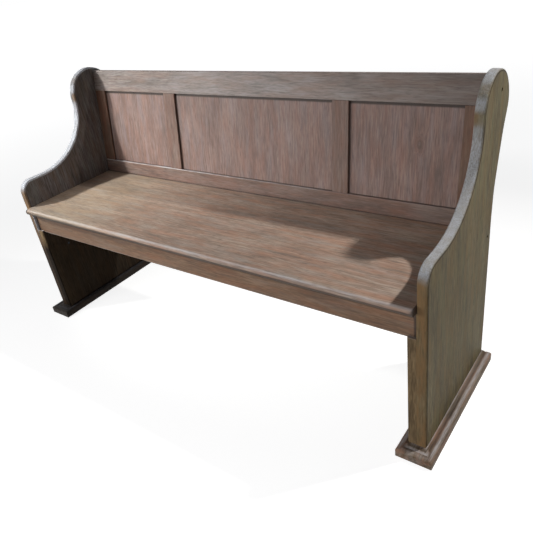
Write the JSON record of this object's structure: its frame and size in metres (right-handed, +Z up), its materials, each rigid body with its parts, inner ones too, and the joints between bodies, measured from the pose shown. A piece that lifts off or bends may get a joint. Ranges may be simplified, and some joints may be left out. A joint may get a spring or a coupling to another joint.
{
  "type": "monks bench",
  "caption": "Wooden monks bench with S-curved pew ends on moulded sledge feet, a boarded seat with a round nosing, and a leaning back of flat panels in a rail and stile frame.",
  "frame": {"origin": "Middle of the bottom face of the whole bench's box, on the floor midway between the two feet.", "axes": "+X runs along the bench to a sitter's left, which is the right of a viewer who faces the bench; +Y runs from the seat's front edge to the back; +Z is up."},
  "size_m": [1.66, 0.567, 0.895],
  "materials": {
    "washed_wood": "weathered grey-brown wash over wire-brushed hardwood, satin wax",
    "frame_wood": "plain planed hardwood, stained dark",
    "dowel_wood": "plain fluted beech, unfinished",
    "fastener_steel": "black oxide, dull"
  },
  "bodies": {
    "root": {"left_end": "washed_wood", "left_leg_board": "washed_wood", "left_foot": "washed_wood", "left_foot_screw_1": "fastener_steel", "left_foot_screw_2": "fastener_steel", "left_foot_screw_3": "fastener_steel", "left_foot_screw_4": "fastener_steel", "left_leg_screw_1": "fastener_steel", "left_leg_screw_2": "fastener_steel", "right_end": "washed_wood", "right_leg_board": "washed_wood", "right_foot": "washed_wood", "right_foot_screw_1": "fastener_steel", "right_foot_screw_2": "fastener_steel", "right_foot_screw_3": "fastener_steel", "right_foot_screw_4": "fastener_steel", "right_leg_screw_1": "fastener_steel", "right_leg_screw_2": "fastener_steel", "seat_board_1": "washed_wood", "seat_board_2": "washed_wood", "seat_board_3": "washed_wood", "seat_board_4": "washed_wood", "front_rail": "washed_wood", "rear_rail": "washed_wood", "batten_screw_1": "fastener_steel", "batten_screw_2": "fastener_steel", "batten_screw_3": "fastener_steel", "batten_screw_4": "fastener_steel", "batten_screw_5": "fastener_steel", "batten_screw_6": "fastener_steel", "batten_screw_7": "fastener_steel", "batten_screw_8": "fastener_steel", "left_batten": "frame_wood", "left_front_block": "frame_wood", "left_rear_block": "frame_wood", "left_block_screw": "fastener_steel", "left_rail_bolt": "fastener_steel", "left_rail_nut": "fastener_steel", "right_batten": "frame_wood", "right_front_block": "frame_wood", "right_rear_block": "frame_wood", "right_block_screw": "fastener_steel", "right_rail_bolt": "fastener_steel", "right_rail_nut": "fastener_steel", "back_bottom_rail": "washed_wood", "back_top_rail": "washed_wood", "left_stile": "washed_wood", "right_stile": "washed_wood", "left_muntin": "washed_wood", "right_muntin": "washed_wood", "left_panel": "washed_wood", "middle_panel": "washed_wood", "right_panel": "washed_wood", "left_back_dowel": "dowel_wood", "left_back_bolt": "fastener_steel", "left_back_nut": "fastener_steel", "right_back_dowel": "dowel_wood", "right_back_bolt": "fastener_steel", "right_back_nut": "fastener_steel"}
  },
  "joints": []
}
